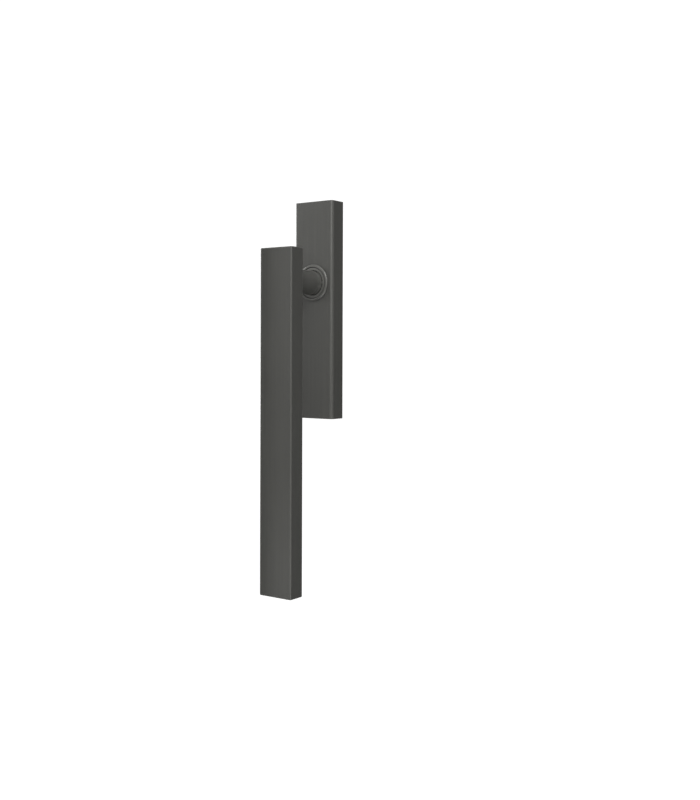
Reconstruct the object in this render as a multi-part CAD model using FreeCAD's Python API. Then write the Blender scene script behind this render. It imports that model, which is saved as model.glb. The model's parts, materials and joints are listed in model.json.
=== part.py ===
import FreeCAD, Part
import math
import os

Vector = FreeCAD.Vector

# Lever handle for a lift-and-slide patio door. Millimetres. The origin is on the spindle axis at the
# door's face, +Z is up, the room is at -Y and the door at +Y. The lever hangs straight down.

# Cover plate
cover_height = 216.0
cover_width = 47.0
cover_depth = 18.0
cover_front_wall = 3.0
cover_side_wall = 2.5
cover_end_wall = 3.0
cover_edge_radius = 2.85  # long front edges
cover_end_radius = 0.6  # edges round the top and bottom ends
cover_pocket_radius = 3.0  # inner corners
spindle_below_top = 81.0

# Grip bar
grip_length = 334.0
grip_width = 38.5
grip_thickness = 18.0
grip_edge_radius = 1.2
grip_above_spindle = 31.0
hand_clearance = 40.5  # cover front to grip back

# Neck
neck_diameter = 24.0
neck_end_wall = 8.5
neck_spigot_diameter = 15.0
neck_spigot_length = 3.0
neck_edge_chamfer = 0.4

# Stepped guide ring round the neck
ring_height = 1.8
ring_face_width = 2.7  # flat next to the neck
ring_groove_width = 0.7
ring_groove_depth = 0.7
ring_bead_flat = 1.1  # top of the bead, inside its rounded edge
ring_side_land = 0.3  # straight part of the side below the rounded edge
ring_step = 0.3  # inner face below the bead
ring_bore_chamfer = 0.3
ring_spigot_wall = 3.4

# Drive sleeve
sleeve_diameter = 18.0
sleeve_end_inset = 0.6  # rear end below the door face
sleeve_flat_depth = 1.3  # flats under the stop disc
socket_size = 10.0  # square spindle
socket_clearance = 0.15

# Cap screw and dowels between neck and grip
neck_screw_diameter = 8.0
neck_screw_head_diameter = 13.0
neck_screw_head_height = 8.0
neck_screw_hex = 6.0
neck_screw_hex_depth = 4.0
neck_screw_tip_space = 1.0
grip_screw_skin = 3.5  # left in front of the tapped hole
dowel_diameter = 3.0
dowel_in_grip = 5.0
dowel_in_neck = 6.0
dowel_from_edge = 2.15  # dowel axis to the neck's outside

# Pins and set screw through the neck wall
sleeve_pin_diameter = 3.0
sleeve_pin_length = 5.8
sleeve_pin_inset = 0.2
sleeve_pin_from_end = 3.0  # from the neck's rear end
grub_diameter = 6.0
grub_inset = 0.3
grub_hex = 3.0
grub_hex_depth = 3.5
grub_from_sleeve_front = 6.4
grub_point_gap = 0.1  # tip to the socket's wall

# Base plate
base_skin = 3.0
base_wall = 2.6
base_rib = 2.2
base_rib_pitch = 26.0
base_corner_radius = 1.0
hub_wall = 3.0  # round the rear pocket
fixing_spacing = 80.0
fixing_hole_diameter = 6.6
fixing_head_diameter = 13.0
fixing_boss_diameter = 18.0

# Bearing and end stop
bush_wall = 2.0
bush_flange_width = 3.4
bush_flange_thickness = 1.9
thrust_washer_width = 1.9
thrust_washer_thickness = 1.0
stop_disc_thickness = 2.0
stop_pin_diameter = 4.0
stop_pin_wall = 0.85  # hub wall between the pin and the bush
stop_pin_seat_depth = 4.0
stop_pin_inset = 0.3  # tip below the disc's rear face
lever_travel = 180.0  # degrees
stop_slack = 0.5  # degrees left at each end of the travel
wave_washer_width = 2.5
wave_washer_thickness = 0.4
wave_washer_height = 1.3
wave_count = 3
circlip_thickness = 1.2
circlip_groove_depth = 0.5
circlip_end_land = 0.7  # sleeve left behind the circlip
circlip_width = 2.2
circlip_gap = 3.4
circlip_ear_radius = 2.3
circlip_ear_hole_diameter = 1.8

# Cover clips and their rivets
clip_thickness = 0.5
clip_width = 10.0
clip_pocket_depth = 1.7
clip_foot_length = 3.6
clip_ramp_length = 3.2
clip_crest_length = 0.8
clip_tail_length = 1.8
clip_tail_drop = 0.9  # tail end below the base's side
clip_crest_reach = 0.45  # crest past the cover's inner wall
clip_end_space = 1.0  # room past each end of a clip
clip_groove_depth = 0.8
clip_groove_width = 3.4
clip_from_top = 16.0
clip_from_bottom = 27.0
clip_pad_thickness = 3.9
clip_pad_end = 3.2  # pad past each end of a clip
rivet_diameter = 2.4
rivet_head_diameter = 3.2
rivet_head_height = 0.6

# Clearances
seat_clearance = 0.15  # base inside the cover
face_clearance = 0.1  # between flat faces that slide
running_clearance = 0.05  # journals, radial
neck_clearance = 0.35  # neck in the guide ring, radial
press_clearance = 0.03  # seated pins and bushes, radial
overcut = 1.0  # how far a cutting shape runs past the face that it opens

# Levels along the spindle axis, zero at the door face
cover_front = -cover_depth
cover_inside = cover_front + cover_front_wall
base_front = cover_inside + face_clearance
ring_front = cover_front - ring_height
grip_back = cover_front - hand_clearance
grip_front = grip_back - grip_thickness
neck_rear = base_front - face_clearance
neck_floor = grip_back + neck_end_wall
neck_tip = grip_back - neck_spigot_length
screw_head_rear = neck_floor + neck_screw_head_height
tapped_end = grip_front + grip_screw_skin
screw_tip = tapped_end + neck_screw_tip_space
sleeve_front = screw_head_rear + face_clearance
sleeve_rear = -sleeve_end_inset
circlip_rear = sleeve_rear - circlip_end_land
circlip_front = circlip_rear - circlip_thickness
disc_rear = circlip_front - wave_washer_height - face_clearance
disc_front = disc_rear - stop_disc_thickness
washer_rear = disc_front - face_clearance
hub_floor = washer_rear - thrust_washer_thickness
bush_shoulder = base_front + bush_flange_thickness
grub_level = sleeve_front + grub_from_sleeve_front
sleeve_pin_level = neck_rear - sleeve_pin_from_end

# Other places worked out from the sizes above
cover_top = spindle_below_top
cover_bottom = cover_top - cover_height
pocket_width = cover_width - 2 * cover_side_wall
pocket_top = cover_top - cover_end_wall
pocket_bottom = cover_bottom + cover_end_wall
base_half_width = pocket_width / 2 - seat_clearance
base_top = pocket_top - seat_clearance
base_bottom = pocket_bottom + seat_clearance
neck_radius = neck_diameter / 2
ring_bore_radius = neck_radius + neck_clearance
ring_groove_radius = ring_bore_radius + ring_face_width
ring_bead_radius = ring_groove_radius + ring_groove_width
ring_edge_radius = ring_height - ring_side_land
ring_radius = ring_bead_radius + ring_bead_flat + ring_edge_radius
ring_spigot_radius = ring_bore_radius + ring_spigot_wall
dowel_circle_radius = neck_radius - dowel_from_edge
sleeve_radius = sleeve_diameter / 2
socket_width = socket_size + socket_clearance
bush_bore_radius = sleeve_radius + running_clearance
bush_radius = bush_bore_radius + bush_wall
bush_flange_radius = bush_radius + bush_flange_width
stop_pin_radius = stop_pin_diameter / 2
stop_pin_circle_radius = bush_radius + stop_pin_wall + stop_pin_radius
stop_notch_radius = stop_pin_circle_radius - stop_pin_radius - face_clearance
stop_disc_radius = stop_pin_circle_radius + stop_pin_radius
hub_pocket_radius = stop_disc_radius + 2 * face_clearance
hub_radius = hub_pocket_radius + hub_wall
circlip_bore_radius = sleeve_radius - circlip_groove_depth
clip_levels = (base_top - clip_from_top, base_bottom + clip_from_bottom)
clip_floor = base_half_width - clip_pocket_depth
rivet_level = base_front + base_skin + rivet_head_diameter / 2 + 2 * face_clearance
clip_foot_end = rivet_level - clip_foot_length / 2
clip_foot_level = rivet_level + clip_foot_length / 2
clip_crest_level = clip_foot_level + clip_ramp_length


def block(x0, x1, y0, y1, z0, z1):
    return Part.makeBox(x1 - x0, y1 - y0, z1 - z0, Vector(x0, y0, z0))


def rod(radius, y0, y1, x=0.0, z=0.0):
    return Part.makeCylinder(radius, y1 - y0, Vector(x, y0, z), Vector(0, 1, 0))


def tube(outer_radius, inner_radius, y0, y1):
    return rod(outer_radius, y0, y1).cut(rod(inner_radius, y0, y1))


def cone(radius0, radius1, y0, y1, z=0.0):
    return Part.makeCone(radius0, radius1, y1 - y0, Vector(0, y0, z), Vector(0, 1, 0))


def cross_rod(radius, x0, x1, y, z):
    return Part.makeCylinder(radius, x1 - x0, Vector(x0, y, z), Vector(1, 0, 0))


def hex_bar(across_flats, length, start, direction):
    corner_radius = across_flats / math.sqrt(3)
    corners = []
    for step in range(7):
        angle = math.radians(60 * step)
        corners.append(Vector(corner_radius * math.cos(angle), corner_radius * math.sin(angle), 0))
    bar = Part.Face(Part.makePolygon(corners)).extrude(Vector(0, 0, length))
    bar.Placement = FreeCAD.Placement(start, FreeCAD.Rotation(Vector(0, 0, 1), direction))
    return bar


def edges_where(shape, test):
    return [edge for edge in shape.Edges if test(edge.BoundBox)]


def edges_along_y(shape):
    return edges_where(shape, lambda box: box.YLength > 2 * (box.XLength + box.ZLength))


def mirrored(shape):
    return shape.mirror(Vector(0, 0, 0), Vector(1, 0, 0))


def rounded_block(x0, x1, y0, y1, z0, z1, radius):
    body = block(x0, x1, y0, y1, z0, z1)
    return body.makeFillet(radius, edges_along_y(body))


def escutcheon_cover():
    half = cover_width / 2
    body = block(-half, half, cover_front, 0, cover_bottom, cover_top)
    middle = cover_front / 2
    long_edges = edges_where(body, lambda box: box.ZLength > cover_height / 2 and box.YMax < middle)
    body = body.makeFillet(cover_edge_radius, long_edges)
    end_edges = edges_where(body, lambda box: box.ZLength < 0.01 and box.YMin < middle)
    body = body.makeFillet(cover_end_radius, end_edges)
    inner = pocket_width / 2
    body = body.cut(
        rounded_block(-inner, inner, cover_inside, overcut, pocket_bottom, pocket_top, cover_pocket_radius)
    )
    body = body.cut(rod(ring_spigot_radius + press_clearance, cover_front - overcut, cover_inside + overcut))
    for level in clip_levels:
        body = body.cut(clip_groove(level))
    return body


def clip_groove(level):
    reach = pocket_width / 2 + clip_groove_depth
    half_width = clip_groove_width / 2
    half_length = clip_width / 2 + clip_end_space
    return block(
        -reach,
        reach,
        clip_crest_level - half_width,
        clip_crest_level + half_width,
        level - half_length,
        level + half_length,
    )


def base_ribs():
    half = base_rib / 2
    levels = [fixing_spacing / 2, -fixing_spacing / 2]
    # Below the lower screw boss, cross ribs stand on both sides of the lower clips and then at the same pitch
    level = clip_levels[1] - base_rib_pitch / 2
    while level < -(fixing_spacing + fixing_boss_diameter) / 2 - base_rib:
        levels.append(level)
        level += base_rib_pitch
    ribs = block(-half, half, base_front, 0, base_bottom, base_top)
    for level in levels:
        ribs = ribs.fuse(block(-base_half_width, base_half_width, base_front, 0, level - half, level + half))
    return ribs


def clip_pads(level):
    half_length = clip_width / 2 + clip_pad_end
    pad_back = clip_floor - clip_pad_thickness
    right = block(pad_back, base_half_width, base_front, 0, level - half_length, level + half_length)
    return right.fuse(mirrored(right))


def base_plate():
    outline_radius = cover_pocket_radius - seat_clearance
    body = rounded_block(
        -base_half_width, base_half_width, base_front, 0, base_bottom, base_top, outline_radius
    )
    inner = base_half_width - base_wall
    hollow = block(-inner, inner, base_front + base_skin, 0, base_bottom + base_wall, base_top - base_wall)
    hollow = hollow.cut(base_ribs()).cut(rod(hub_radius, base_front, 0))
    for side in (-1, 1):
        hollow = hollow.cut(rod(fixing_boss_diameter / 2, base_front, 0, 0, side * fixing_spacing / 2))
    for level in clip_levels:
        hollow = hollow.cut(clip_pads(level))
    hollow = hollow.removeSplitter()
    hollow = hollow.makeFillet(base_corner_radius, edges_along_y(hollow))
    body = body.cut(hollow)
    body = body.cut(rod(bush_radius + press_clearance, base_front, 0))
    body = body.cut(rod(bush_flange_radius + press_clearance, base_front - overcut, bush_shoulder))
    body = body.cut(rod(hub_pocket_radius, hub_floor, overcut))
    body = body.cut(stop_pin_hole())
    for side in (-1, 1):
        body = body.cut(fixing_hole(side * fixing_spacing / 2))
    for level in clip_levels:
        body = body.cut(clip_seat(level))
    return body


def fixing_hole(level):
    sink_depth = (fixing_head_diameter - fixing_hole_diameter) / 2
    sink = cone(
        fixing_head_diameter / 2, fixing_hole_diameter / 2, base_front, base_front + sink_depth, level
    )
    return rod(fixing_hole_diameter / 2, base_front, overcut, 0, level).fuse(sink)


def clip_seat(level):
    half_length = clip_width / 2 + clip_end_space
    pocket = block(
        clip_floor,
        base_half_width + overcut,
        clip_foot_end - clip_end_space,
        overcut,
        level - half_length,
        level + half_length,
    )
    hole_end = clip_floor - clip_pad_thickness - overcut
    hole = cross_rod(rivet_diameter / 2 + press_clearance, hole_end, clip_floor, rivet_level, level)
    right = pocket.fuse(hole)
    return right.fuse(mirrored(right))


def cover_clips():
    foot = clip_floor + clip_thickness
    crest = pocket_width / 2 + clip_crest_reach
    half_crest = clip_crest_length / 2
    outer_line = [
        Vector(foot, clip_foot_end, 0),
        Vector(foot, clip_foot_level, 0),
        Vector(crest, clip_crest_level - half_crest, 0),
        Vector(crest, clip_crest_level + half_crest, 0),
        Vector(base_half_width - clip_tail_drop, clip_crest_level + half_crest + clip_tail_length, 0),
    ]
    inner_line = [point - Vector(clip_thickness, 0, 0) for point in outer_line]
    outline = outer_line + inner_line[::-1] + outer_line[:1]
    leaf = Part.Face(Part.makePolygon(outline)).extrude(Vector(0, 0, clip_width))
    leaf.translate(Vector(0, 0, -clip_width / 2))
    hole_radius = rivet_diameter / 2 + press_clearance
    leaf = leaf.cut(cross_rod(hole_radius, clip_floor - overcut, clip_floor + overcut, rivet_level, 0))
    leaves = []
    for level in clip_levels:
        right = leaf.translated(Vector(0, 0, level))
        leaves += [right, mirrored(right)]
    return Part.makeCompound(leaves)


def clip_rivets():
    pad_back = clip_floor - clip_pad_thickness
    leaf_face = clip_floor + clip_thickness
    head_radius = rivet_head_diameter / 2
    rivets = []
    for level in clip_levels:
        shank = cross_rod(rivet_diameter / 2, pad_back, leaf_face, rivet_level, level)
        head = cross_rod(head_radius, leaf_face, leaf_face + rivet_head_height, rivet_level, level)
        tail = cross_rod(head_radius, pad_back - rivet_head_height, pad_back, rivet_level, level)
        right = shank.fuse([head, tail])
        rivets += [right, mirrored(right)]
    return Part.makeCompound(rivets)


def guide_ring():
    face = ring_front + ring_step
    groove_floor = ring_front + ring_groove_depth
    rear = cover_inside - face_clearance
    corner = ring_radius - ring_edge_radius
    turn = ring_edge_radius * (1 - math.sqrt(0.5))
    arc = Part.Arc(
        Vector(ring_radius, ring_front + ring_edge_radius, 0),
        Vector(ring_radius - turn, ring_front + turn, 0),
        Vector(corner, ring_front, 0),
    )
    before_arc = Part.makePolygon(
        [
            Vector(ring_bore_radius, face + ring_bore_chamfer, 0),
            Vector(ring_bore_radius, rear, 0),
            Vector(ring_spigot_radius, rear, 0),
            Vector(ring_spigot_radius, cover_front, 0),
            Vector(ring_radius, cover_front, 0),
            Vector(ring_radius, ring_front + ring_edge_radius, 0),
        ]
    )
    after_arc = Part.makePolygon(
        [
            Vector(corner, ring_front, 0),
            Vector(ring_bead_radius, ring_front, 0),
            Vector(ring_bead_radius, groove_floor, 0),
            Vector(ring_groove_radius, groove_floor, 0),
            Vector(ring_groove_radius, face, 0),
            Vector(ring_bore_radius + ring_bore_chamfer, face, 0),
            Vector(ring_bore_radius, face + ring_bore_chamfer, 0),
        ]
    )
    outline = Part.Wire(before_arc.Edges + [arc.toShape()] + after_arc.Edges)
    return Part.Face(outline).revolve(Vector(0, 0, 0), Vector(0, 1, 0), 360)


def bearing_bush():
    flange = tube(bush_flange_radius, bush_bore_radius, base_front, bush_shoulder)
    barrel = tube(bush_radius, bush_bore_radius, base_front, hub_floor)
    return flange.fuse(barrel).removeSplitter()


def thrust_washer():
    return tube(bush_bore_radius + thrust_washer_width, bush_bore_radius, hub_floor, washer_rear)


def stop_pin_hole():
    start = hub_floor - stop_pin_seat_depth
    return rod(stop_pin_radius + press_clearance, start, 0, 0, stop_pin_circle_radius)


def stop_pin():
    start = hub_floor - stop_pin_seat_depth
    return rod(stop_pin_radius, start, disc_rear - stop_pin_inset, 0, stop_pin_circle_radius)


def stop_disc():
    pin_angle = math.degrees(math.asin(stop_pin_radius / stop_pin_circle_radius))
    end_angle = pin_angle + stop_slack
    notch_angle = lever_travel + 2 * end_angle
    body = rod(stop_disc_radius, disc_front, disc_rear)
    # The notch starts at the pin, above the axis, and runs on the side that the grip swings through
    up = Vector(0, 0, 1)
    reach = stop_disc_radius + overcut
    sector = Part.makeCylinder(reach, stop_disc_thickness, Vector(), up, notch_angle)
    sector.rotate(Vector(), up, end_angle - notch_angle)
    sector.Placement = FreeCAD.Placement(
        Vector(0, disc_front, 0), FreeCAD.Rotation(Vector(1, 1, 1), -120)
    ).multiply(sector.Placement)
    body = body.cut(sector.cut(rod(stop_notch_radius, disc_front, disc_rear)))
    return body.cut(double_flat_bar(press_clearance))


def double_flat_bar(clearance):
    half = sleeve_radius - sleeve_flat_depth + clearance
    radius = sleeve_radius + clearance
    bar = rod(radius, disc_front - overcut, 0)
    return bar.common(block(-half, half, disc_front - overcut, 0, -radius, radius))


def wave_loop(radius, offset):
    swing = (wave_washer_height - wave_washer_thickness) / 2
    middle = disc_rear + wave_washer_height / 2 + face_clearance / 2 + offset
    points = []
    steps = 8 * wave_count
    for step in range(steps):
        angle = 2 * math.pi * step / steps
        level = middle + swing * math.cos(wave_count * angle)
        points.append(Vector(radius * math.sin(angle), level, radius * math.cos(angle)))
    curve = Part.BSplineCurve()
    curve.interpolate(points, PeriodicFlag=True)
    return curve.toShape()


def wave_washer():
    inner = sleeve_radius + face_clearance
    outer = inner + wave_washer_width
    half = wave_washer_thickness / 2
    loops = [wave_loop(outer, -half), wave_loop(outer, half), wave_loop(inner, half), wave_loop(inner, -half)]
    faces = []
    for index in range(len(loops)):
        faces.append(Part.makeRuledSurface(loops[index - 1], loops[index]))
    return Part.makeSolid(Part.makeShell(faces))


def retaining_ring():
    outer = circlip_bore_radius + circlip_width
    ear_level = -(circlip_bore_radius + circlip_ear_radius)
    ear_place = circlip_gap / 2 + circlip_ear_radius / 2
    body = rod(outer, circlip_front, circlip_rear)
    for side in (-1, 1):
        body = body.fuse(rod(circlip_ear_radius, circlip_front, circlip_rear, side * ear_place, ear_level))
    body = body.cut(rod(circlip_bore_radius + press_clearance, circlip_front, circlip_rear))
    half_gap = circlip_gap / 2
    reach = circlip_bore_radius + 3 * circlip_ear_radius
    body = body.cut(block(-half_gap, half_gap, circlip_front, circlip_rear, -reach, 0))
    hole_place = ear_place + circlip_ear_hole_diameter / 2
    for side in (-1, 1):
        hole = rod(circlip_ear_hole_diameter / 2, circlip_front, circlip_rear, side * hole_place, ear_level)
        body = body.cut(hole)
    return body.removeSplitter()


def drive_sleeve():
    body = rod(sleeve_radius, sleeve_front, sleeve_rear)
    flats = rod(sleeve_radius + overcut, disc_front, sleeve_rear).cut(double_flat_bar(0.0))
    body = body.cut(flats)
    groove_slack = face_clearance / 2
    body = body.cut(
        tube(
            sleeve_radius + overcut,
            circlip_bore_radius,
            circlip_front - groove_slack,
            circlip_rear + groove_slack,
        )
    )
    half = socket_width / 2
    body = body.cut(block(-half, half, sleeve_front, sleeve_rear, -half, half))
    for pin_hole in sleeve_pin_rods(press_clearance):
        body = body.cut(pin_hole)
    return body.cut(grub_hole())


def sleeve_pin_rods(clearance):
    outer = neck_radius - sleeve_pin_inset
    inner = outer - sleeve_pin_length - clearance
    right = cross_rod(sleeve_pin_diameter / 2 + clearance, inner, outer, sleeve_pin_level, 0)
    return [right, mirrored(right)]


def sleeve_pins():
    return Part.makeCompound(sleeve_pin_rods(0.0))


def grub_hole():
    radius = grub_diameter / 2 + press_clearance
    return Part.makeCylinder(radius, neck_radius, Vector(0, grub_level, -neck_radius), Vector(0, 0, 1))


def spindle_grub_screw():
    start = -(neck_radius - grub_inset)
    end = -(socket_width / 2 + grub_point_gap)
    radius = grub_diameter / 2
    body = Part.makeCylinder(radius, end - start, Vector(0, grub_level, start), Vector(0, 0, 1))
    tip_edge = edges_where(body, lambda box: box.ZMin > end - 0.01 and box.XLength > 0.01)
    body = body.makeChamfer(radius / 3, tip_edge)
    return body.cut(hex_bar(grub_hex, grub_hex_depth, Vector(0, grub_level, start), Vector(0, 0, 1)))


def neck():
    body = rod(neck_radius, grip_back, neck_rear)
    rear_edge = edges_where(body, lambda box: box.YMin > neck_rear - 0.01)
    body = body.makeChamfer(neck_edge_chamfer, rear_edge)
    body = body.fuse(rod(neck_spigot_diameter / 2, neck_tip, grip_back))
    body = body.cut(rod(sleeve_radius + press_clearance, neck_floor, neck_rear))
    body = body.cut(rod(neck_screw_diameter / 2 + face_clearance, neck_tip, neck_floor))
    for dowel_hole in dowel_rods(press_clearance):
        body = body.cut(dowel_hole)
    pin_hole_radius = sleeve_pin_diameter / 2 + press_clearance
    body = body.cut(cross_rod(pin_hole_radius, -neck_radius, neck_radius, sleeve_pin_level, 0))
    return body.cut(grub_hole()).removeSplitter()


def neck_screw():
    head = rod(neck_screw_head_diameter / 2, neck_floor, screw_head_rear)
    rim = edges_where(head, lambda box: box.YMin > screw_head_rear - 0.01)
    head = head.makeChamfer(neck_screw_head_diameter / 20, rim)
    body = head.fuse(rod(neck_screw_diameter / 2, screw_tip, neck_floor))
    socket = hex_bar(
        neck_screw_hex, neck_screw_hex_depth, Vector(0, screw_head_rear, 0), Vector(0, -1, 0)
    )
    return body.cut(socket)


def dowel_rods(clearance):
    start = grip_back - dowel_in_grip - clearance
    end = grip_back + dowel_in_neck + clearance
    radius = dowel_diameter / 2 + clearance
    return [rod(radius, start, end, side * dowel_circle_radius) for side in (-1, 1)]


def neck_dowels():
    return Part.makeCompound(dowel_rods(0.0))


def grip_bar():
    half = grip_width / 2
    top = grip_above_spindle
    body = block(-half, half, grip_front, grip_back, top - grip_length, top)
    body = body.makeFillet(grip_edge_radius, body.Edges)
    body = body.cut(rod(neck_spigot_diameter / 2 + press_clearance, neck_tip - face_clearance, grip_back))
    body = body.cut(rod(neck_screw_diameter / 2 + press_clearance, tapped_end, grip_back))
    for dowel_hole in dowel_rods(press_clearance):
        body = body.cut(dowel_hole)
    return body


pieces = [
    escutcheon_cover,
    base_plate,
    guide_ring,
    bearing_bush,
    thrust_washer,
    stop_pin,
    cover_clips,
    clip_rivets,
    grip_bar,
    neck,
    neck_screw,
    neck_dowels,
    drive_sleeve,
    sleeve_pins,
    spindle_grub_screw,
    stop_disc,
    wave_washer,
    retaining_ring,
]

os.makedirs("parts", exist_ok=True)
for piece in pieces:
    piece().exportStep("parts/" + piece.__name__ + ".step")
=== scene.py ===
import json
import math

import bmesh
import bpy
from mathutils import Matrix, Vector


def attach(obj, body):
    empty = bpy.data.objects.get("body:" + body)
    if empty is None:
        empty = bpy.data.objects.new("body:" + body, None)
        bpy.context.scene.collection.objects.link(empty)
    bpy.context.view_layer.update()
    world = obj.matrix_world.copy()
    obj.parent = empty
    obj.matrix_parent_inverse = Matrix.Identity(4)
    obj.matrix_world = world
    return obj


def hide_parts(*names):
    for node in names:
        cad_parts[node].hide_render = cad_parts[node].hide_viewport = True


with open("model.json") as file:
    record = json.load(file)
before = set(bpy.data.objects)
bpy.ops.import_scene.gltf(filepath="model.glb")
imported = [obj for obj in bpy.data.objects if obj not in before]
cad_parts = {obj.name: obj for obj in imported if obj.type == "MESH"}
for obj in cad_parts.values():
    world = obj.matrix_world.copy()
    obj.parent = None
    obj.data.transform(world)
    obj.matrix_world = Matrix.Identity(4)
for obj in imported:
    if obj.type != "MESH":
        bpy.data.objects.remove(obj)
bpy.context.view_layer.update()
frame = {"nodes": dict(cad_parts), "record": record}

scene = bpy.context.scene
mm = 0.001
print("frame loaded:", len(frame["nodes"]), "nodes")


# node graphs: sums are written as sums, every other node comes from Graph.add
class Wire:
    def __init__(self, graph, socket):
        self.graph = graph
        self.socket = socket

    def __add__(self, other):
        return self.graph.calculate("ADD", self, other)

    def __radd__(self, other):
        return self.graph.calculate("ADD", other, self)

    def __sub__(self, other):
        return self.graph.calculate("SUBTRACT", self, other)

    def __rsub__(self, other):
        return self.graph.calculate("SUBTRACT", other, self)

    def __mul__(self, other):
        return self.graph.calculate("MULTIPLY", self, other)

    def __rmul__(self, other):
        return self.graph.calculate("MULTIPLY", other, self)

    def __truediv__(self, other):
        return self.graph.calculate("DIVIDE", self, other)

    def __rtruediv__(self, other):
        return self.graph.calculate("DIVIDE", other, self)


class Graph:
    def __init__(self, tree):
        self.tree = tree
        tree.nodes.clear()

    def add(self, kind, settings=None, sockets=None, output=0):
        node = self.tree.nodes.new(kind)
        for name, value in (settings or {}).items():
            setattr(node, name, value)
        for name, value in (sockets or {}).items():
            if isinstance(value, Wire):
                self.tree.links.new(value.socket, node.inputs[name])
            else:
                node.inputs[name].default_value = value
        return Wire(self, node.outputs[output]) if node.outputs else None

    def calculate(self, operation, *values):
        return self.add("ShaderNodeMath", {"operation": operation}, dict(enumerate(values)))

    def distance(self, first, second):
        return self.calculate("SQRT", first * first + second * second)

    def parts(self, vector):
        node = self.add("ShaderNodeSeparateXYZ", None, {0: vector}).socket.node
        return [Wire(self, output) for output in node.outputs]

    def stretched(self, vector, scales):
        return self.add("ShaderNodeVectorMath", {"operation": "MULTIPLY"}, {0: vector, 1: scales})

    def noise(self, vector, scale, detail=2.0, roughness=0.5):
        sockets = {"Vector": vector, "Scale": scale, "Detail": detail, "Roughness": roughness}
        return self.add("ShaderNodeTexNoise", None, sockets)

    def blendColours(self, mask, first, second):
        settings = {"data_type": "RGBA", "clamp_factor": True}
        return self.add("ShaderNodeMix", settings, {0: mask, 6: first, 7: second}, output=2)


def newMaterial(name):
    material = bpy.data.materials.new(name)
    material.use_nodes = True
    graph = Graph(material.node_tree)
    place = graph.add("ShaderNodeTexCoord", None, None, output=3)  # object coordinates
    return material, graph, place


def finishMaterial(graph, colour, roughness, height, bump, metallic):
    strength, depth = bump
    normal = graph.add("ShaderNodeBump", None, {"Height": height, "Strength": strength, "Distance": depth})
    values = {"Base Color": colour, "Roughness": roughness, "Normal": normal, "Metallic": metallic}
    shader = graph.add("ShaderNodeBsdfPrincipled", None, values)
    graph.add("ShaderNodeOutputMaterial", None, {"Surface": shader})


def toned(colour, tone=1.0):
    return tuple(value * tone for value in colour) + (1,)


# dark anodised finish of every part that shows from the room
graphite = {
    "dark": (0.06, 0.06, 0.0555),
    "light": (0.102, 0.102, 0.0945),
    # edge: colour of the rounded edges, a painted highlight that also stands for light wear
    "edge": (0.115, 0.115, 0.107),
    # rim: colour of the ring's bead edge, a little darker than the rest, painted shade that damps its
    # highlight
    "rim": (0.074, 0.074, 0.0685),
    # painted highlight on the neck near its foot
    "paintedFootLight": (0.125, 0.125, 0.116),
    # painted shade in the ring's recesses and on the neck inside the ring
    "paintedShade": (0.016, 0.016, 0.015),
    "metallic": 0.15,
    "roughness": 0.4,
    "markRoughness": 0.16,
    "cloudRoughness": 0.1,
}

# bar and plate: the grain runs along them
brushed = {
    "tone": 1.04,
    "grainScales": (2600.0, 2600.0, 26.0),
    "streakScales": (420.0, 420.0, 9.0),
    "cloudScale": 22.0,
    "grainShare": 0.35,
    "streakShare": 0.4,
    "cloudShare": 0.25,
    "paintedLightShare": 0.75,
    "paintedLightStreak": 0.2,
    "rubPolish": 0.13,
    "grainHeight": 0.6,
    "streakHeight": 0.4,
    "bump": (0.3, 0.00005),
}


def graphiteMix(graph, mix, tone):
    return graph.blendColours(mix, toned(graphite["dark"], tone), toned(graphite["light"], tone))


def graphiteRoughness(marks, cloud):
    return (marks - 0.5) * graphite["markRoughness"] + (cloud - 0.5) * graphite["cloudRoughness"]


def brushedGraphite(name):
    material, graph, place = newMaterial(name)
    tone = brushed["tone"]
    grain = graph.noise(graph.stretched(place, brushed["grainScales"]), 1.0, detail=3.0, roughness=0.6)
    streak = graph.noise(graph.stretched(place, brushed["streakScales"]), 1.0)
    cloud = graph.noise(place, brushed["cloudScale"])
    mix = grain * brushed["grainShare"] + streak * brushed["streakShare"] + cloud * brushed["cloudShare"]
    # the rounded edges are painted lighter, a painted highlight that also stands for light rubbing by hands
    # and packing, and they are polished smoother
    rounding = graph.add("ShaderNodeAttribute", {"attribute_name": "rounding"}, None, output=2)
    paintedLight = rounding * (brushed["paintedLightShare"] + brushed["paintedLightStreak"] * streak)
    colour = graph.blendColours(paintedLight, graphiteMix(graph, mix, tone), toned(graphite["edge"], tone))
    roughness = graphite["roughness"] + graphiteRoughness(grain, cloud) - paintedLight * brushed["rubPolish"]
    height = grain * brushed["grainHeight"] + streak * brushed["streakHeight"]
    finishMaterial(graph, colour, roughness, height, brushed["bump"], graphite["metallic"])
    return material


# ring and neck: turning marks run round them
turnedFinish = {
    # the ring's tone is well above the bar's: a lighter copy of the finish, painted light against the shade
    # the neck and bar throw on it
    "ring": {"tone": 1.65, "polish": 0.04, "marks": 1.0, "paintedLight": "rim"},
    "neck": {"tone": 1.22, "polish": 0.1, "marks": 0.5, "paintedLight": "paintedFootLight"},
    "markScale": 3200.0,
    "cloudScale": 60.0,
    "markShare": 0.6,
    "cloudShare": 0.4,
    "paintedLightShare": 0.75,
    "rubPolish": 0.05,
    # how strongly the painted shade darkens, and how much rougher it leaves the surface
    "paintedShade": 0.85,
    "paintedShadeDull": 0.2,
    "bump": (0.2, 0.00003),
}

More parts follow.
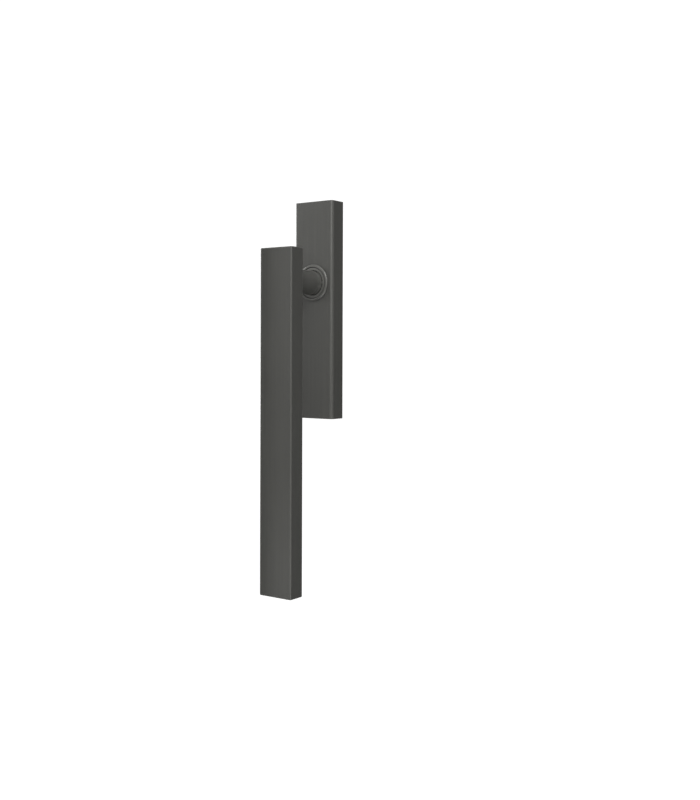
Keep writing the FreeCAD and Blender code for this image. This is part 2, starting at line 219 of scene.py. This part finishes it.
# where painted shade and painted light lie on them, from none to all, in millimetres from the axis or along
# it
bands = {
    "boreLip": (12.75, 12.6),
    "grooveInside": (14.9, 15.1),
    "grooveOutside": (16.1, 15.85),
    "grooveDepth": (-19.9, -19.6),
    "rimInside": (16.4, 16.9),
    "rimOutside": (18.3, 17.8),
    "ringFoot": (-18.75, -18.45),
    "ringWall": (18.0, 18.3),
    # neckFoot: painted shade on the neck where it enters the ring
    "neckFoot": (-19.85, -19.55),
    # painted highlight on the neck near its foot, fading out along it
    "neckFootLight": (-26.0, -21.0),
}


def band(graph, value, name):
    none, full = bands[name]
    sockets = {"Value": value, "From Min": none * mm, "From Max": full * mm}
    return graph.add("ShaderNodeMapRange", {"interpolation_type": "SMOOTHSTEP", "clamp": True}, sockets)


def ringBands(graph, radius, level):
    # painted shade in the groove, at the ring's outer foot against the plate and round the bore
    groove = band(graph, radius, "grooveInside") * band(graph, radius, "grooveOutside")
    groove = groove * band(graph, level, "grooveDepth")
    foot = band(graph, level, "ringFoot") * band(graph, radius, "ringWall")
    paintedShadeMask = groove + foot + band(graph, radius, "boreLip")
    # second: the bead's rounded edge, which takes the rim colour as painted shade on its highlight
    return paintedShadeMask, band(graph, radius, "rimInside") * band(graph, radius, "rimOutside")


def neckBands(graph, radius, level):
    # painted shade at the neck's foot inside the ring, painted highlight on the neck near its foot
    return band(graph, level, "neckFoot"), band(graph, level, "neckFootLight")


def latheParts(graph, place):
    x, y, z = graph.parts(place)
    radius = graph.distance(x, z)
    return radius, y, graph.add("ShaderNodeCombineXYZ", None, {0: radius, 1: y})


# painted shade darkens the ring's groove, bore lip and outer foot and the neck inside the ring; painted
# light sets the colour of the bead's edge and lightens the neck near its foot
def turnedGraphite(name, part, findBands):
    material, graph, place = newMaterial(name)
    own, tone = turnedFinish[part], turnedFinish[part]["tone"]
    radius, level, lathe = latheParts(graph, place)
    marks = graph.noise(lathe, turnedFinish["markScale"], detail=3.0, roughness=0.6)
    cloud = graph.noise(place, turnedFinish["cloudScale"])
    faint = 0.5 + (marks - 0.5) * own["marks"]
    mix = 0.5 + (faint - 0.5) * turnedFinish["markShare"] + (cloud - 0.5) * turnedFinish["cloudShare"]
    paintedShadeMask, paintedLight = findBands(graph, radius, level)
    colour = graphiteMix(graph, mix, tone)
    colour = graph.blendColours(paintedLight * turnedFinish["paintedLightShare"], colour, toned(graphite[own["paintedLight"]], tone))
    colour = graph.blendColours(paintedShadeMask * turnedFinish["paintedShade"], colour, toned(graphite["paintedShade"]))
    roughness = graphite["roughness"] - own["polish"] + graphiteRoughness(faint, cloud)
    roughness = roughness + paintedShadeMask * turnedFinish["paintedShadeDull"] - paintedLight * turnedFinish["rubPolish"]
    strength, depth = turnedFinish["bump"]
    finishMaterial(graph, colour, roughness, marks, (strength * own["marks"], depth), graphite["metallic"])
    return material


# die-cast carrier, milled flat where it meets the door
casting = {
    "low": (0.35, 0.35, 0.342),
    "high": (0.47, 0.47, 0.46),
    "milled": (0.56, 0.56, 0.55),
    "metallic": 0.5,
    "roughness": 0.58,
    "skinScale": 1400.0,
    "flowScales": (110.0, 110.0, 45.0),
    "skinShare": 0.4,
    "flowShare": 0.6,
    "flowRoughness": 0.25,
    "landLevel": -0.00005,
    "landShare": 0.8,
    "landPolish": 0.12,
    "landFlat": 0.85,
    "cutterCentre": (-0.004, 0.35),
    "cutterRate": 9000.0,
    "cutterHeight": 0.12,
    "bump": (0.35, 0.00008),
}


def castAlloy():
    material, graph, place = newMaterial("castAlloy")
    skin = graph.noise(place, casting["skinScale"], detail=4.0, roughness=0.65)
    flow = graph.noise(graph.stretched(place, casting["flowScales"]), 1.0, detail=3.0, roughness=0.6)
    x, y, z = graph.parts(place)
    land = graph.calculate("GREATER_THAN", y, casting["landLevel"])
    # the cutter leaves arcs that cross the lands
    centreX, centreZ = casting["cutterCentre"]
    arcs = graph.calculate("SINE", graph.distance(x - centreX, z - centreZ) * casting["cutterRate"])
    mix = skin * casting["skinShare"] + flow * casting["flowShare"]
    colour = graph.blendColours(mix, toned(casting["low"]), toned(casting["high"]))
    colour = graph.blendColours(land * casting["landShare"], colour, toned(casting["milled"]))
    roughness = casting["roughness"] + (flow - 0.5) * casting["flowRoughness"] - land * casting["landPolish"]
    height = skin * (1 - land * casting["landFlat"]) + arcs * land * casting["cutterHeight"]
    finishMaterial(graph, colour, roughness, height, casting["bump"], casting["metallic"])
    return material


# bare metals inside and at the back
metals = {
    "machinedSteel": {"low": (0.44, 0.44, 0.44), "high": (0.58, 0.58, 0.575), "roughness": 0.42},
    "springSteel": {"low": (0.24, 0.24, 0.25), "high": (0.36, 0.36, 0.37), "roughness": 0.4},
    "rivetAlloy": {"low": (0.56, 0.56, 0.56), "high": (0.68, 0.68, 0.675), "roughness": 0.34},
    "markScale": 2600.0,
    "cloudScale": 180.0,
    "markRoughness": 0.2,
    "cloudRoughness": 0.12,
    "bump": (0.2, 0.00003),
}


def machinedMetal(name):
    material, graph, place = newMaterial(name)
    own = metals[name]
    marks = graph.noise(latheParts(graph, place)[2], metals["markScale"], detail=3.0, roughness=0.6)
    cloud = graph.noise(place, metals["cloudScale"], detail=3.0)
    colour = graph.blendColours(marks * 0.5 + cloud * 0.5, toned(own["low"]), toned(own["high"]))
    roughness = own["roughness"] + (marks - 0.5) * metals["markRoughness"]
    roughness = roughness + (cloud - 0.5) * metals["cloudRoughness"]
    finishMaterial(graph, colour, roughness, marks, metals["bump"], 1.0)
    return material


# off-white plastic of the bush and the thrust washer
plastic = {
    "low": (0.7, 0.69, 0.645),
    "high": (0.8, 0.79, 0.745),
    "roughness": 0.42,
    "grainScale": 900.0,
    "cloudScale": 90.0,
    "grainRoughness": 0.2,
    "bump": (0.15, 0.00005),
}


def bearingPlastic():
    material, graph, place = newMaterial("bearingPlastic")
    grain = graph.noise(place, plastic["grainScale"], detail=3.0)
    cloud = graph.noise(place, plastic["cloudScale"])
    colour = graph.blendColours(cloud, toned(plastic["low"]), toned(plastic["high"]))
    roughness = plastic["roughness"] + (grain - 0.5) * plastic["grainRoughness"]
    finishMaterial(graph, colour, roughness, grain, plastic["bump"], 0.0)
    return material


finishes = {
    "bar": brushedGraphite("brushedBar"),
    "plate": brushedGraphite("brushedPlate"),
    "ring": turnedGraphite("turnedRing", "ring", ringBands),
    "neck": turnedGraphite("turnedNeck", "neck", neckBands),
    "cast": castAlloy(),
    "steel": machinedMetal("machinedSteel"),
    "spring": machinedMetal("springSteel"),
    "rivet": machinedMetal("rivetAlloy"),
    "plastic": bearingPlastic(),
}
print("finishes made:", len(finishes))

# how copied and turned meshes are joined up and shaded
shading = {
    "weld": 0.000002,
    "flatDegrees": 0.2,
    "copySharpDegrees": 32,
    "turnedSharpDegrees": 30,
    "straight": 0.9995,
    "normalWeight": 100,
}


# a welded copy of a node, with its flats joined up and its shading split at the sharp edges
def pieceFromNode(node, name, finish):
    work = bmesh.new()
    work.from_mesh(frame["nodes"][node].data)
    bmesh.ops.remove_doubles(work, verts=work.verts, dist=shading["weld"])
    flat = math.radians(shading["flatDegrees"])
    bmesh.ops.dissolve_limit(work, angle_limit=flat, verts=work.verts, edges=work.edges)
    splitShading(work, shading["copySharpDegrees"])
    mesh = bpy.data.meshes.new(name)
    work.to_mesh(mesh)
    work.free()
    # faces that turn a corner carry 1, flat ones carry 0
    rounding = mesh.attributes.new("rounding", "FLOAT", "FACE")
    for face in mesh.polygons:
        straight = max(abs(value) for value in face.normal)
        rounding.data[face.index].value = 0.0 if straight > shading["straight"] else 1.0
    piece = bpy.data.objects.new(name, mesh)
    scene.collection.objects.link(piece)
    weighted = piece.modifiers.new("evenNormals", "WEIGHTED_NORMAL")
    weighted.keep_sharp = True
    weighted.weight = shading["normalWeight"]
    return asPlainMesh(piece, finish)


def asPlainMesh(piece, finish):
    bpy.context.view_layer.update()
    depsgraph = bpy.context.evaluated_depsgraph_get()
    mesh = bpy.data.meshes.new_from_object(piece.evaluated_get(depsgraph))
    piece.modifiers.clear()
    piece.data = mesh
    mesh.name = piece.name
    mesh.materials.clear()
    mesh.materials.append(finishes[finish])
    return piece


def splitShading(work, sharpDegrees):
    for edge in work.edges:
        edge.smooth = len(edge.link_faces) == 2 and edge.calc_face_angle() < math.radians(sharpDegrees)
    for face in work.faces:
        face.smooth = True


# geometry trees: a part turned round the Y axis, set down on places that carry an axis
def newTree(name, inputs):
    tree = bpy.data.node_groups.new(name, "GeometryNodeTree")
    graph = Graph(tree)
    tree.interface.new_socket("Geometry", in_out="OUTPUT", socket_type="NodeSocketGeometry")
    for label, kind in inputs.items():
        tree.interface.new_socket(label, in_out="INPUT", socket_type="NodeSocket" + kind)
    entry = graph.add("NodeGroupInput").socket.node
    return graph, {label: Wire(graph, entry.outputs[label]) for label in inputs}


def gridOfTurns(graph, rows, segments):
    around = segments + 1
    grid = graph.add("GeometryNodeMeshGrid", None, {"Vertices X": rows, "Vertices Y": around})
    index = graph.add("GeometryNodeInputIndex")
    row = graph.calculate("FLOOR", (index + 0.5) / around)
    angle = (index - row * around) * (2 * math.pi) / segments
    return grid, row, angle


def turnedPoint(graph, radius, level, angle):
    sine = graph.calculate("SINE", angle)
    cosine = graph.calculate("COSINE", angle)
    return graph.add("ShaderNodeCombineXYZ", None, {0: radius * sine, 1: level, 2: radius * cosine})


def setDown(graph, grid, point, given):
    shell = graph.add("GeometryNodeSetPosition", None, {"Geometry": grid, "Position": point})
    sockets = {"Geometry": shell, "Distance": shading["weld"]}
    shell = graph.add("GeometryNodeMergeByDistance", None, sockets)
    places = graph.add("GeometryNodeObjectInfo", None, {"Object": given["Places"]}, output="Geometry")
    axis = graph.add("GeometryNodeInputNamedAttribute", {"data_type": "FLOAT_VECTOR"}, {"Name": "axis"})
    turn = graph.add("FunctionNodeAlignRotationToVector", {"axis": "Y"}, {"Vector": axis})
    sockets = {"Points": places, "Instance": shell, "Rotation": turn}
    copies = graph.add("GeometryNodeInstanceOnPoints", None, sockets)
    solid = graph.add("GeometryNodeRealizeInstances", None, {"Geometry": copies})
    coated = graph.add("GeometryNodeSetMaterial", None, {"Geometry": solid, "Material": given["Material"]})
    graph.add("NodeGroupOutput", None, {"Geometry": coated})
    return graph.tree


def turnedTree():
    graph, given = newTree("turnedPart", {
        "Profile": "Object",
        "Places": "Object",
        "Segments": "Int",
        "Wave": "Float",
        "Wave Count": "Float",
        "Material": "Material",
    })
    outline = graph.add("GeometryNodeObjectInfo", None, {"Object": given["Profile"]}, output="Geometry")
    count = graph.add("GeometryNodeAttributeDomainSize", {"component": "MESH"}, {"Geometry": outline})
    grid, row, angle = gridOfTurns(graph, count, given["Segments"])
    corner = graph.add("GeometryNodeInputPosition")
    sockets = {"Geometry": outline, "Value": corner, "Index": row}
    spot = graph.add("GeometryNodeSampleIndex", {"data_type": "FLOAT_VECTOR"}, sockets)
    radius, level = graph.parts(spot)[:2]
    ripple = graph.calculate("COSINE", angle * given["Wave Count"])
    point = turnedPoint(graph, radius, level + ripple * given["Wave"], angle)
    return setDown(graph, grid, point, given)


# flanks and flats of the thread, and how finely it is drawn
threadForm = {
    "steepness": 1.25,
    "lift": 0.1,
    "rowsPerPitch": 12,
    "endRows": 3,
    "segments": 48,
}


def threadTree():
    graph, given = newTree("screwThread", {
        "Radius": "Float",
        "Depth": "Float",
        "Pitch": "Float",
        "Length": "Float",
        "Rows": "Int",
        "Segments": "Int",
        "Places": "Object",
        "Material": "Material",
    })
    rows, length, pitch = given["Rows"], given["Length"], given["Pitch"]
    grid, row, angle = gridOfTurns(graph, rows, given["Segments"])
    # the first and last rows close the ends
    share = graph.add("ShaderNodeClamp", None, {0: (row - 1) / (rows - threadForm["endRows"])})
    level = share * length
    fraction = graph.calculate("FRACT", level / pitch - angle / (2 * math.pi))
    ridge = graph.calculate("ABSOLUTE", fraction * 2 - 1)
    ridge = graph.add("ShaderNodeClamp", None, {0: ridge * threadForm["steepness"] - threadForm["lift"]})
    fromEnds = graph.calculate("MINIMUM", level, length - level)
    runOut = graph.add("ShaderNodeClamp", None, {0: fromEnds / pitch})
    closed = graph.calculate("COMPARE", row * (rows - 1 - row), 0.0, 0.5)
    radius = (given["Radius"] - given["Depth"] * (1 - ridge * runOut)) * (1 - closed)
    return setDown(graph, grid, turnedPoint(graph, radius, level, angle), given)


def pointCloud(name, points, axes=None):
    mesh = bpy.data.meshes.new(name)
    mesh.from_pydata([tuple(value * mm for value in point) for point in points], [], [])
    if axes:
        attribute = mesh.attributes.new("axis", "FLOAT_VECTOR", "POINT")
        for entry, axis in zip(attribute.data, axes):
            entry.vector = axis
    cloud = bpy.data.objects.new(name, mesh)
    scene.collection.objects.link(cloud)
    return cloud


# runs a tree and keeps its result as a plain mesh
def meshFromTree(name, tree, values, finish):
    piece = bpy.data.objects.new(name, bpy.data.meshes.new(name))
    scene.collection.objects.link(piece)
    modifier = piece.modifiers.new("shape", "NODES")
    modifier.node_group = tree
    for item in tree.interface.items_tree:
        if item.in_out == "INPUT":
            modifier[item.identifier] = finishes[finish] if item.name == "Material" else values[item.name]
    asPlainMesh(piece, finish)
    work = bmesh.new()
    work.from_mesh(piece.data)
    bmesh.ops.recalc_face_normals(work, faces=work.faces)
    splitShading(work, shading["turnedSharpDegrees"])
    work.to_mesh(piece.data)
    work.free()
    for helper in (values.get("Profile"), values["Places"]):
        if helper:
            bpy.data.objects.remove(helper)
    return piece


turned = turnedTree()
threads = threadTree()
centre = [(0, 0, 0)]
alongY = [(0, 1, 0)]


def turnedPiece(name, profile, finish, segments, places=centre, axes=alongY, swing=0.0, waves=0.0):
    values = {
        "Profile": pointCloud("profileLine", [(radius, level, 0) for radius, level in profile]),
        "Places": pointCloud("placePoints", places, axes),
        "Segments": segments,
        "Wave": swing * mm,
        "Wave Count": waves,
    }
    return meshFromTree(name, turned, values, finish)


def arcPoints(middle, radius, startDegrees, endDegrees, steps):
    points = []
    for step in range(steps + 1):
        angle = math.radians(startDegrees + (endDegrees - startDegrees) * step / steps)
        points.append((middle[0] + radius * math.cos(angle), middle[1] + radius * math.sin(angle)))
    return points


record = frame["record"]
bodyOf = {node: body for body, nodes in record["behaviour"]["bodies"].items() for node in nodes}


def settle(piece, node):
    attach(piece, bodyOf[node])
    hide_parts(node)


# main pieces, whose form comes straight from the frame: name and finish
mainPieces = {
    "grip_bar": ("gripBar", "bar"),
    "escutcheon_cover": ("escutcheonCover", "plate"),
    "neck": ("neckPost", "neck"),
    "base_plate": ("basePlate", "cast"),
    "drive_sleeve": ("driveSleeve", "steel"),
    "stop_disc": ("stopDisc", "steel"),
    "retaining_ring": ("retainingRing", "spring"),
    "cover_clips": ("coverClips", "spring"),
}
for node, (name, finish) in mainPieces.items():
    settle(pieceFromNode(node, name, finish), node)
print("main pieces made:", len(mainPieces))

# stepped ring round the neck, millimetres
ring = {
    "bore": 12.35,
    "boreChamfer": 0.3,
    "grooveInside": 15.05,
    "beadInside": 15.75,
    "beadFlat": 1.1,
    "edgeRadius": 1.5,
    "edgeSteps": 12,
    "spigot": 15.75,
    "front": -19.8,
    "face": -19.5,
    "grooveFloor": -19.1,
    "seat": -18.0,
    "rear": -15.1,
    "softEdge": 0.12,
    "softSteps": 4,
    "segments": 240,
}


def makeGuideRing():
    soft, softSteps = ring["softEdge"], ring["softSteps"]
    corner = ring["beadInside"] + ring["beadFlat"]
    profile = [
        (ring["bore"], ring["face"] + ring["boreChamfer"]),
        (ring["bore"], ring["rear"]),
        (ring["spigot"], ring["rear"]),
        (ring["spigot"], ring["seat"]),
        (corner + ring["edgeRadius"], ring["seat"]),
    ]
    middle = (corner, ring["front"] + ring["edgeRadius"])
    profile += arcPoints(middle, ring["edgeRadius"], 0, -90, ring["edgeSteps"])
    profile += arcPoints((ring["beadInside"] + soft, ring["front"] + soft), soft, -90, -180, softSteps)
    profile += [(ring["beadInside"], ring["grooveFloor"]), (ring["grooveInside"], ring["grooveFloor"])]
    profile += arcPoints((ring["grooveInside"] - soft, ring["face"] + soft), soft, 0, -90, softSteps)
    profile += [(ring["bore"] + ring["boreChamfer"], ring["face"]), profile[0]]
    return turnedPiece("guideRing", profile, "ring", ring["segments"])


settle(makeGuideRing(), "guide_ring")

# plastic bearing parts, millimetres
bearing = {
    "bore": 9.05,
    "barrel": 11.05,
    "flange": 14.45,
    "washer": 10.95,
    "front": -14.9,
    "shoulder": -13.0,
    "hubFloor": -7.0,
    "washerRear": -6.0,
    "bushChamfer": 0.25,
    "washerChamfer": 0.1,
    "segments": 120,
}


def makeBearingBush():
    bore, barrel, flange = bearing["bore"], bearing["barrel"], bearing["flange"]
    front, rear, cut = bearing["front"], bearing["hubFloor"], bearing["bushChamfer"]
    profile = [
        (bore + cut, front),
        (bore, front + cut),
        (bore, rear - cut),
        (bore + cut, rear),
        (barrel - cut, rear),
        (barrel, rear - cut),
        (barrel, bearing["shoulder"]),
        (flange, bearing["shoulder"]),
        (flange, front + cut),
        (flange - cut, front),
        (bore + cut, front),
    ]
    return turnedPiece("bearingBush", profile, "plastic", bearing["segments"])


def flatRing(inner, outer, low, high, cut):
    return [
        (inner + cut, low),
        (inner, low + cut),
        (inner, high - cut),
        (inner + cut, high),
        (outer - cut, high),
        (outer, high - cut),
        (outer, low + cut),
        (outer - cut, low),
        (inner + cut, low),
    ]


def makeThrustWasher():
    low, high = bearing["hubFloor"], bearing["washerRear"]
    profile = flatRing(bearing["bore"], bearing["washer"], low, high, bearing["washerChamfer"])
    return turnedPiece("thrustWasher", profile, "plastic", bearing["segments"])


settle(makeBearingBush(), "bearing_bush")
settle(makeThrustWasher(), "thrust_washer")

# spring washer that bows in three waves, millimetres
wave = {
    "inner": 9.1,
    "outer": 11.6,
    "thickness": 0.4,
    "middle": -3.2,
    "chamfer": 0.05,
    "swing": 0.45,
    "count": 3.0,
    "segments": 144,
}


def makeWaveWasher():
    low, high = wave["middle"] - wave["thickness"] / 2, wave["middle"] + wave["thickness"] / 2
    profile = flatRing(wave["inner"], wave["outer"], low, high, wave["chamfer"])
    ripple = {"swing": wave["swing"], "waves": wave["count"]}
    return turnedPiece("waveWasher", profile, "spring", wave["segments"], **ripple)


settle(makeWaveWasher(), "wave_washer")

# rivets through the leaf springs, millimetres; each starts at its tail inside the pad
rivet = {
    "shank": 1.2,
    "head": 1.6,
    "cap": 0.6,
    "grip": 4.4,
    "tailCut": (0.3, 0.25),
    "rim": 0.1,
    "domeShares": (0.94, 0.82, 0.64, 0.4, 0.18, 0.0),
    "domePower": 2.6,
    "start": 14.65,
    "level": -10.1,
    "heights": (61.85, -104.85),
    "segments": 40,
}


def makeClipRivets():
    shank, head, cap, rim = rivet["shank"], rivet["head"], rivet["cap"], rivet["rim"]
    under = cap + rivet["grip"]
    profile = [
        (0, 0),
        (head - rivet["tailCut"][0], 0),
        (head, rivet["tailCut"][1]),
        (head, cap),
        (shank, cap),
        (shank, under),
        (head, under),
        (head, under + rim),
    ]
    # low dome on the head
    for share in rivet["domeShares"]:
        profile.append((head * share, under + cap - (cap - rim) * share ** rivet["domePower"]))
    sides = [(side, z) for z in rivet["heights"] for side in (1, -1)]
    places = [(side * rivet["start"], rivet["level"], z) for side, z in sides]
    axes = [(side, 0, 0) for side, z in sides]
    return turnedPiece("clipRivets", profile, "rivet", rivet["segments"], places, axes)


settle(makeClipRivets(), "clip_rivets")

# dowels and pins, millimetres
pins = {
    "stopPin": {
        "node": "stop_pin",
        "radius": 2.0,
        "length": 6.8,
        "starts": [(0, -11.0, 13.9)],
        "axes": [(0, 1, 0)],
    },
    "neckDowels": {
        "node": "neck_dowels",
        "radius": 1.5,
        "length": 11.0,
        "starts": [(9.85, -63.5, 0), (-9.85, -63.5, 0)],
        "axes": [(0, 1, 0), (0, 1, 0)],
    },
    "sleevePins": {
        "node": "sleeve_pins",
        "radius": 1.5,
        "length": 5.8,
        "starts": [(6.0, -18, 0), (-6.0, -18, 0)],
        "axes": [(1, 0, 0), (-1, 0, 0)],
    },
}
pinForm = {"chamferShare": 0.16, "segments": 40}


def makePins(name, pin):
    radius, length = pin["radius"], pin["length"]
    cut = radius * pinForm["chamferShare"]
    profile = [(0, 0), (radius - cut, 0), (radius, cut)]
    profile += [(radius, length - cut), (radius - cut, length), (0, length)]
    return turnedPiece(name, profile, "steel", pinForm["segments"], pin["starts"], pin["axes"])


for name, pin in pins.items():
    settle(makePins(name, pin), pin["node"])
print("turned pieces made")

# screws, millimetres: the head starts at its open end and runs along its axis
capScrew = {
    "place": (0, -42.0, 0),
    "axis": (0, -1, 0),
    "headRadius": 6.5,
    "headHeight": 8.0,
    "chamfer": 0.65,
    "hexAcross": 6.0,
    "hexDepth": 4.0,
    "knurls": 40,
    "knurlDepth": 0.18,
    "threadRadius": 4.0,
    "threadDepth": 0.72,
    "pitch": 1.25,
    "threadLength": 22.0,
}
setScrew = {
    "place": (0, -35.5, -11.7),
    "axis": (0, 0, 1),
    "headRadius": 2.96,
    "headHeight": 3.9,
    "chamfer": 0.35,
    "hexAcross": 3.0,
    "hexDepth": 3.5,
    "knurls": 0,
    "knurlDepth": 0.0,
    "threadRadius": 3.0,
    "threadDepth": 0.55,
    "pitch": 1.0,
    "threadLength": 2.62,
}
headForm = {"socketMouth": 0.15, "underCut": 0.3, "drillPoint": 0.6, "segments": 120}


# socket head as rings of points from the bottom of the socket round to the underside
def addSocketHead(mesh, screw):
    segments, mouth, underCut = headForm["segments"], headForm["socketMouth"], headForm["underCut"]
    outer, cut, height = screw["headRadius"], screw["chamfer"], screw["headHeight"]

    def socket(angle):
        corner = math.radians(60)
        return screw["hexAcross"] / 2 / math.cos((angle + corner / 2) % corner - corner / 2)

    def knurled(angle):
        return outer - screw["knurlDepth"] * (0.5 + 0.5 * math.cos(screw["knurls"] * angle))

    rings = [
        (screw["hexDepth"], socket),
        (mouth, socket),
        (0.0, lambda angle: socket(angle) + mouth),
        (0.0, lambda angle: outer - cut),
        (cut, knurled),
        (height - underCut, knurled),
        (height, lambda angle: outer - underCut),
    ]
    work = bmesh.new()
    loops = []
    for level, reach in rings:
        loop = []
        for step in range(segments):
            angle = 2 * math.pi * step / segments
            radius = reach(angle) * mm
            loop.append(work.verts.new((radius * math.sin(angle), level * mm, radius * math.cos(angle))))
        loops.append(loop)
    for near, far in zip(loops, loops[1:]):
        for step in range(segments):
            after = (step + 1) % segments
            work.faces.new((near[step], near[after], far[after], far[step]))
    for loop, level in ((loops[0], screw["hexDepth"] + headForm["drillPoint"]), (loops[-1], height)):
        middle = work.verts.new((0, level * mm, 0))
        for step in range(segments):
            work.faces.new((loop[step], loop[(step + 1) % segments], middle))
    turn = Vector((0, 1, 0)).rotation_difference(Vector(screw["axis"])).to_matrix().to_4x4()
    place = Matrix.Translation(Vector(screw["place"]) * mm)
    bmesh.ops.transform(work, matrix=place @ turn, verts=work.verts)
    bmesh.ops.recalc_face_normals(work, faces=work.faces)
    splitShading(work, shading["turnedSharpDegrees"])
    work.from_mesh(mesh)
    work.to_mesh(mesh)
    work.free()


def makeScrew(name, screw, finish):
    start = Vector(screw["place"]) + Vector(screw["axis"]) * screw["headHeight"]
    turns = screw["threadLength"] / screw["pitch"]
    values = {
        "Radius": screw["threadRadius"] * mm,
        "Depth": screw["threadDepth"] * mm,
        "Pitch": screw["pitch"] * mm,
        "Length": screw["threadLength"] * mm,
        "Rows": int(turns * threadForm["rowsPerPitch"]) + threadForm["endRows"],
        "Segments": threadForm["segments"],
        "Places": pointCloud("placePoints", [tuple(start)], [screw["axis"]]),
    }
    piece = meshFromTree(name, threads, values, finish)
    addSocketHead(piece.data, screw)
    return piece


settle(makeScrew("neckScrew", capScrew, "steel"), "neck_screw")
settle(makeScrew("spindleSetScrew", setScrew, "steel"), "spindle_grub_screw")
print("screws made")


# white room; lengths in metres
room = {
    "floorLevel": -1.05,
    "floorSize": 30.0,
    "floorGrey": 0.85,
    "floorGlow": 1.0,
    "surround": 0.1,
    "backdrop": 1.1,
    "matt": 0.9,
}


def stageSheet(name, corners, grey, glow):
    mesh = bpy.data.meshes.new(name)
    mesh.from_pydata(corners, [], [(0, 1, 2, 3)])
    sheet = bpy.data.objects.new(name, mesh)
    scene.collection.objects.link(sheet)
    material = bpy.data.materials.new(name)
    material.use_nodes = True
    graph = Graph(material.node_tree)
    values = {"Base Color": toned((grey, grey, grey)), "Roughness": room["matt"]}
    values.update({"Emission Color": (1, 1, 1, 1), "Emission Strength": glow})
    shader = graph.add("ShaderNodeBsdfPrincipled", None, values)
    graph.add("ShaderNodeOutputMaterial", None, {"Surface": shader})
    mesh.materials.append(material)
    return sheet


def makeFloor():
    half, level = room["floorSize"] / 2, room["floorLevel"]
    corners = [(-half, -half, level), (half, -half, level), (half, half, level), (-half, half, level)]
    floor = stageSheet("floor", corners, room["floorGrey"], room["floorGlow"])
    floor.visible_diffuse = False  # seen, but it throws no light on the metal
    floor.visible_glossy = False


# black card beside the bar, out of the camera's sight, that shades the left of the bar's face
card = {"across": -0.0235, "near": -0.078, "far": -0.098, "low": -0.33, "high": 0.33, "grey": 0.01}


def makeCard():
    x, near, far, low, high = (card[key] for key in ("across", "near", "far", "low", "high"))
    corners = [(x, near, low), (x, far, low), (x, far, high), (x, near, high)]
    blackCard = stageSheet("blackCard", corners, card["grey"], 0.0)
    blackCard.visible_camera = False


def makeWorld():
    world = bpy.data.worlds.new("whiteRoom")
    scene.world = world
    world.use_nodes = True
    graph = Graph(world.node_tree)
    level = room["surround"]
    seen = graph.add("ShaderNodeLightPath")  # first output: is camera ray
    lit = graph.add("ShaderNodeBackground", None, {"Color": (level, level, level, 1)})
    backdrop = graph.add("ShaderNodeBackground", None, {"Color": (1, 1, 1, 1), "Strength": room["backdrop"]})
    both = graph.add("ShaderNodeMixShader", None, {0: seen, 1: lit, 2: backdrop})
    graph.add("ShaderNodeOutputWorld", None, {"Surface": both})


# soft lamps: where each stands and what it faces, its width and height in metres, and its watts
lamps = {
    "highBox": ((0.2, -1.0, 0.9), (0, -0.04, -0.06), (2.4, 1.0), 7.3),
    "highRightBox": ((0.8, -0.6, 0.75), (0, -0.03, 0.0), (0.5, 0.5), 7.4),
    "frontRightBox": ((0.5, -1.2, 0.35), (0, -0.04, -0.08), (0.6, 0.8), 3.1),
    "leftBox": ((-1.2, -0.1, 0.2), (0, -0.04, -0.1), (0.8, 1.0), 14.5),
    "leftFrontBox": ((-0.9, -1.0, 0.3), (0, -0.04, -0.1), (0.8, 1.0), 1.5),
    "lowBox": ((0.25, -0.55, -0.85), (0, -0.04, -0.1), (0.8, 0.6), 4.6),
    "topBox": ((0.1, -0.35, 1.1), (0, -0.04, 0.0), (0.9, 0.9), 3.0),
    "lowRightBox": ((0.75, -0.35, -0.85), (0, -0.04, 0.0), (0.6, 0.6), 1.3),
    "gripEndBox": ((-0.2, -0.34, -0.345), (0.0, -0.0765, -0.26), (0.36, 0.1), 0.075),
    "backBox": ((-0.6, 1.2, 0.45), (0, 0.0, -0.05), (1.4, 1.4), 18),
}


def makeLamp(name, place, target, size, watts):
    light = bpy.data.lights.new(name, "AREA")
    light.shape = "RECTANGLE"
    light.size, light.size_y = size
    light.energy = watts
    lamp = bpy.data.objects.new(name, light)
    aim = Vector(target) - Vector(place)
    lamp.matrix_world = Matrix.Translation(place) @ aim.to_track_quat("-Z", "Y").to_matrix().to_4x4()
    lamp.visible_camera = False
    scene.collection.objects.link(lamp)


# camera: place in metres, lens and sensor in millimetres
photoView = {
    "place": (0.62989, -0.83764, -0.06747),
    "right": (0.81415366, 0.58064134, 0.00307412),
    "up": (-0.00711008, 0.00467532, 0.99996379),
    "sensorHeight": 36.0,
    "lens": 46.65,
    "shift": -0.0512,
}


def makeCamera():
    data = bpy.data.cameras.new("photoView")
    data.sensor_fit = "VERTICAL"
    data.sensor_height = photoView["sensorHeight"]
    data.lens = photoView["lens"]
    data.shift_y = photoView["shift"]
    camera = bpy.data.objects.new("photoView", data)
    right, up = Vector(photoView["right"]), Vector(photoView["up"])
    turn = Matrix((right, up, right.cross(up))).transposed().to_4x4()
    camera.matrix_world = Matrix.Translation(photoView["place"]) @ turn
    scene.collection.objects.link(camera)
    scene.camera = camera


makeCard()
makeFloor()
makeWorld()
for name, (place, target, size, watts) in lamps.items():
    makeLamp(name, place, target, size, watts)
makeCamera()
scene.view_settings.view_transform = "Standard"
print("room, lamps and camera set")
